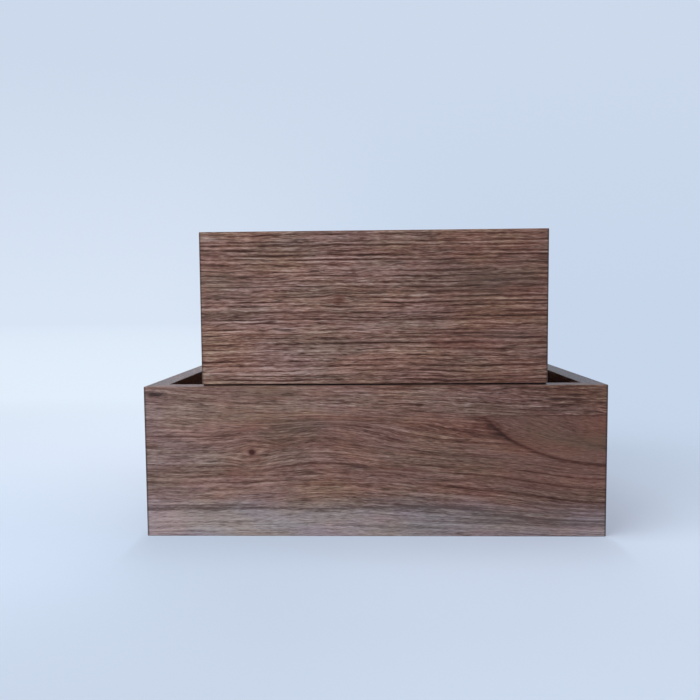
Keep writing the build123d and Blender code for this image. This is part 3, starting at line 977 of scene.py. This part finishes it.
def wood_screw(length):
    """A countersunk screw standing head up at the origin, with no slot or thread yet."""
    bpy.ops.object.select_all(action="DESELECT")
    bpy.ops.mesh.primitive_circle_add(
        vertices=32, radius=HEAD_RADIUS, fill_type="NGON", location=(0, 0, 0)
    )
    screw = bpy.context.object
    bpy.ops.object.mode_set(mode="EDIT")
    bpy.ops.mesh.select_all(action="SELECT")
    # Each step down the screw: how far, and the radius before and after it
    steps = (
        (HEAD_RIM, HEAD_RADIUS, HEAD_RADIUS),
        (HEAD_HEIGHT - HEAD_RIM, HEAD_RADIUS, SHANK_RADIUS),
        (NECK - HEAD_HEIGHT, SHANK_RADIUS, SHANK_RADIUS),
        (NECK_TAPER, SHANK_RADIUS, ROOT_RADIUS),
        (length - NECK - NECK_TAPER - TIP, ROOT_RADIUS, ROOT_RADIUS),
        (TIP * 0.7, ROOT_RADIUS, ROOT_RADIUS * 0.55),
        (TIP * 0.3, ROOT_RADIUS * 0.55, ROOT_RADIUS * 0.04),
    )
    for drop, before, after in steps:
        bpy.ops.mesh.extrude_region_move(TRANSFORM_OT_translate={"value": (0, 0, -drop)})
        ratio = after / before
        bpy.ops.transform.resize(value=(ratio, ratio, 1.0))
    bpy.ops.mesh.select_all(action="SELECT")
    bpy.ops.mesh.normals_make_consistent(inside=False)
    bpy.ops.object.mode_set(mode="OBJECT")
    return screw


def cut_slot(screw):
    """Saws the driver's slot across the head."""
    bpy.ops.object.select_all(action="DESELECT")
    bpy.ops.mesh.primitive_cube_add(size=1.0, location=(0, 0, 0))
    saw = bpy.context.object
    saw.scale = (HEAD_RADIUS * 2.4, 0.9 * MM, 1.6 * MM)
    only(saw)
    bpy.ops.object.transform_apply(location=False, rotation=False, scale=True)
    modify(screw, "BOOLEAN", object=saw, operation="DIFFERENCE", solver="EXACT")
    bpy.data.objects.remove(saw)


def add_thread(screw, length):
    """Winds a sharp ridge round the shank."""
    turns = int((length - THREAD_START - THREAD_END_GAP) / PITCH)
    bpy.ops.object.select_all(action="DESELECT")
    bpy.ops.mesh.primitive_circle_add(
        vertices=3, radius=0.3 * MM, fill_type="NGON", location=(0, 0, 0)
    )
    ridge = bpy.context.object
    foot = ROOT_RADIUS * 0.9
    half_width = 0.42 * PITCH
    places = ((foot, -half_width), (foot, half_width), (CREST_RADIUS, 0.0))
    for vertex, (out, up) in zip(ridge.data.vertices, places):
        vertex.co = (out, 0.0, up - THREAD_START)
    modify(
        ridge, "SCREW", axis="Z", angle=math.radians(-360), screw_offset=-PITCH, iterations=turns,
        steps=20, render_steps=20, use_merge_vertices=False,
    )
    only(screw)
    ridge.select_set(True)
    bpy.ops.object.join()


def turned(degrees, axis):
    """A turn round one axis."""
    return Matrix.Rotation(math.radians(degrees), 4, axis)


def runner_seats(node):
    """The middle of each head in the runners, and the turn that points the screw outwards.

    Each screw has stopped with its slot at an angle of its own."""
    low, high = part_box(node)
    middle = (low.z + high.z) / 2
    ends = (low.y + HEAD_RADIUS, high.y - HEAD_RADIUS)
    left_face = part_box("cabinet_left_runner")[1].x
    right_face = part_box("cabinet_right_runner")[0].x
    return [
        (Vector((x, y, middle)), turned(outwards, "Y") @ Matrix.Rotation(0.4 + 1.3 * i, 4, "Z"))
        for x, outwards in ((left_face, 90), (right_face, -90)) for i, y in enumerate(ends)
    ]


def bottom_seats(node):
    """The middle of each head under the drawer, and the turn that points the screw up."""
    low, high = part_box(node)
    middle = (low.y + high.y) / 2
    return [
        (Vector((x, middle, low.z)), turned(180, "X") @ Matrix.Rotation(0.7 + 0.9 * i, 4, "Z"))
        for i, x in enumerate((low.x + HEAD_RADIUS, high.x - HEAD_RADIUS))
    ]


def drive_screws():
    """The screws of the runners and of the drawer's bottom, each in its own hole."""
    groups = (
        ("runner_screw_set", "runner_screws", "cabinet", 15.0 * MM, runner_seats),
        ("drawer_bottom_screw_set", "drawer_bottom_screws", "drawer", 12.0 * MM, bottom_seats),
    )
    for name, node, body, length, seats in groups:
        placed = []
        for seat, turn in seats(node):
            screw = wood_screw(length)
            cut_slot(screw)
            add_thread(screw, length)
            screw.matrix_world = Matrix.Translation(seat) @ turn
            placed.append(settled(screw, name, ZINC))
        piece = joined(placed, name)
        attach(piece, body)
        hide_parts(node)


lay_felts()
bumper_pads()
drive_screws()


# Surroundings

PAPER_LEFT = paint(217, 229, 245)
PAPER_RIGHT = paint(199, 214, 235)
PAPER_GLOW = paint(226, 238, 251)
PAPER_SHADE = paint(212, 224, 241)
PAPER_FRONT = paint(208, 221, 242)
PAPER_UNDER = paint(168, 179, 197)
SKY_TOP = paint(204, 217, 236)
# The floor's colour far left and far right, by how many metres it lies behind the middle: painted
# light and shade, with a glow behind the organizer on the left
FLOOR_DEPTHS = (
    (-1.50, PAPER_LEFT, PAPER_RIGHT),
    (-0.36, paint(190, 203, 222), paint(203, 217, 237)),
    (-0.20, PAPER_RIGHT, PAPER_FRONT),
    (-0.12, PAPER_RIGHT, PAPER_FRONT),
    (0.20, PAPER_SHADE, PAPER_RIGHT),
    (0.70, PAPER_GLOW, PAPER_RIGHT),
    (6.00, PAPER_LEFT, PAPER_RIGHT),
)
# The backdrop's colour on the left and on the right, by how steeply it is looked up at
SKY_HEIGHTS = (
    (0.00, PAPER_LEFT, PAPER_RIGHT),
    (0.30, SKY_TOP, SKY_TOP),
)
# A look this far to the left meets the left colour, and one this far to the right the right one
BRIGHT_TO_DIM = (-0.32, 0.18)
# The shade on the floor along the tray's long sides, and the one beside its right end: how
# strong it is, how many metres it reaches and over how many its ends fade
LONG_SHADE, LONG_REACH, LONG_END = 0.27, 0.08, 0.008
SIDE_SHADE, SIDE_REACH, SIDE_END = 0.2, 0.05, 0.015
# The share of its own light that the floor shows near the organizer and far away from it
GLOW_NEAR, GLOW_FAR = 0.35, 1.0


def seen_rays(tree):
    """1 for what is seen directly, mirrored or through glass."""
    path = tree.nodes.new("ShaderNodeLightPath")
    direct, mirrored, through = fields_of(
        tree, path, ("Is Camera Ray", "Is Glossy Ray", "Is Transmission Ray")
    )
    return direct.most(mirrored).most(through)


def left_to_right(tree, distance, side, rows):
    """Colours that change with a distance, from a left one to a right one in each row."""
    start = rows[0][0]
    span = rows[-1][0] - start
    level = (distance - start) / span
    left, right = [
        colour_scale(tree, level, [((row[0] - start) / span, row[column]) for row in rows])
        for column in (1, 2)
    ]
    return between(tree, side, left, right)


def light_the_room():
    """A soft light from all round, before a pale blue backdrop."""
    world = bpy.data.worlds.new("studio")
    bpy.context.scene.world = world
    world.use_nodes = True
    tree = world.node_tree
    tree.nodes.clear()
    place = tree.nodes.new("ShaderNodeTexCoord").outputs["Generated"]
    side, _, height = parts_of(tree, place)
    lamp = tree.nodes.new("ShaderNodeBackground")
    lamp.inputs["Color"].default_value = (0.98, 0.985, 1.0, 1.0)
    lamp.inputs["Strength"].default_value = 0.52
    backdrop = tree.nodes.new("ShaderNodeBackground")
    colour = left_to_right(tree, height, side.ease(*BRIGHT_TO_DIM), SKY_HEIGHTS)
    feed(tree, backdrop.inputs["Color"], colour)
    mix = tree.nodes.new("ShaderNodeMixShader")
    feed(tree, mix.inputs[0], seen_rays(tree))
    feed(tree, mix.inputs[1], lamp.outputs[0])
    feed(tree, mix.inputs[2], backdrop.outputs[0])
    output = tree.nodes.new("ShaderNodeOutputWorld")
    feed(tree, output.inputs[0], mix.outputs[0])


LAMP_TARGET = Vector((0, 0, 0.1))


def add_lamp(name, place, size, power, colour=(1.0, 0.985, 0.96)):
    """A large soft lamp that looks at the organizer."""
    data = bpy.data.lights.new(name, "AREA")
    data.shape = "RECTANGLE"
    data.size, data.size_y = size
    data.energy = power
    data.color = colour
    lamp = bpy.data.objects.new(name, data)
    bpy.context.scene.collection.objects.link(lamp)
    lamp.location = place
    aim = LAMP_TARGET - Vector(place)
    lamp.rotation_euler = aim.to_track_quat("-Z", "Y").to_euler()


def lay_floor():
    """A wide pale floor that fades into the backdrop far away."""
    bpy.ops.object.select_all(action="DESELECT")
    bpy.ops.mesh.primitive_plane_add(size=60.0, location=(0, 0, 0))
    floor = bpy.context.object
    floor.name = "floor"
    material = bpy.data.materials.new("pale_paper")
    material.use_nodes = True
    tree = material.node_tree
    shader = tree.nodes["Principled BSDF"]
    spot = tree.nodes.new("ShaderNodeTexCoord").outputs["Object"]
    side, depth, _ = parts_of(tree, spot)
    away = side.distance_to(depth)
    rightness = (side / (away + 0.3)).ease(*BRIGHT_TO_DIM)
    colour = left_to_right(tree, depth, rightness, FLOOR_DEPTHS)
    half_x, half_y = [half * MM for half in TRAY_HALF]
    out_y = (abs(depth) - half_y).most(0.0)
    long_end = (abs(side) - half_x).ease(LONG_END, 0.0)
    long_shade = out_y.ease(LONG_REACH, 0.0) * long_end * LONG_SHADE
    side_shade = (side - half_x).bell(0.0, SIDE_REACH) * out_y.ease(SIDE_END, 0.0) * SIDE_SHADE
    colour = between(tree, long_shade.most(side_shade), colour, PAPER_UNDER)
    feed(tree, shader.inputs["Base Color"], colour)
    feed(tree, shader.inputs["Roughness"], 0.78)
    shader.inputs["Specular IOR Level"].default_value = 0.2
    glow = tree.nodes.new("ShaderNodeEmission")
    feed(tree, glow.inputs["Color"], colour)
    mix = tree.nodes.new("ShaderNodeMixShader")
    own_light = GLOW_NEAR + away.ease(0.30, 0.90) * (GLOW_FAR - GLOW_NEAR)
    feed(tree, mix.inputs[0], own_light * seen_rays(tree))
    feed(tree, mix.inputs[1], shader.outputs[0])
    feed(tree, mix.inputs[2], glow.outputs[0])
    feed(tree, tree.nodes["Material Output"].inputs[0], mix.outputs[0])
    floor.data.materials.append(material)


# The eye's place in millimetres, and how many degrees it turns to the right, looks down and
# leans, as found from the corners of both boxes
EYE = Vector((-1.85, -659.44, 183.45))
EYE_TURN = -1.724
EYE_DOWN = 3.876
EYE_LEAN = -0.474


def place_camera():
    """The photograph's eye: a little left of the middle, above the rim, looking slightly down."""
    turn = math.radians(EYE_TURN)
    down = math.radians(EYE_DOWN)
    lean = math.radians(EYE_LEAN)
    level_length = math.cos(down)
    ahead = Vector((math.sin(turn) * level_length, math.cos(turn) * level_length, -math.sin(down)))
    right = Vector((math.cos(turn), -math.sin(turn), 0.0))
    above = right.cross(ahead)
    level = right * math.cos(lean) + above * math.sin(lean)
    upright = above * math.cos(lean) - right * math.sin(lean)
    data = bpy.data.cameras.new("camera")
    data.sensor_width = 36.0
    data.lens = 36.0
    data.clip_start = 0.01
    camera = bpy.data.objects.new("camera", data)
    bpy.context.scene.collection.objects.link(camera)
    facing = Matrix((level, upright, -ahead)).transposed().to_4x4()
    camera.matrix_world = Matrix.Translation(EYE * MM) @ facing
    bpy.context.scene.camera = camera


light_the_room()
lay_floor()
place_camera()
# Each lamp: its place, its size in metres and its watts
add_lamp("window", (-1.05, -0.75, 1.05), (1.5, 1.2), 22.0)
add_lamp("back_fill", (-0.1, 1.15, 1.4), (1.2, 0.8), 7.0)
add_lamp("right_fill", (1.3, 0.15, 0.3), (0.8, 0.6), 3.5)
bpy.context.scene.view_settings.view_transform = "Standard"
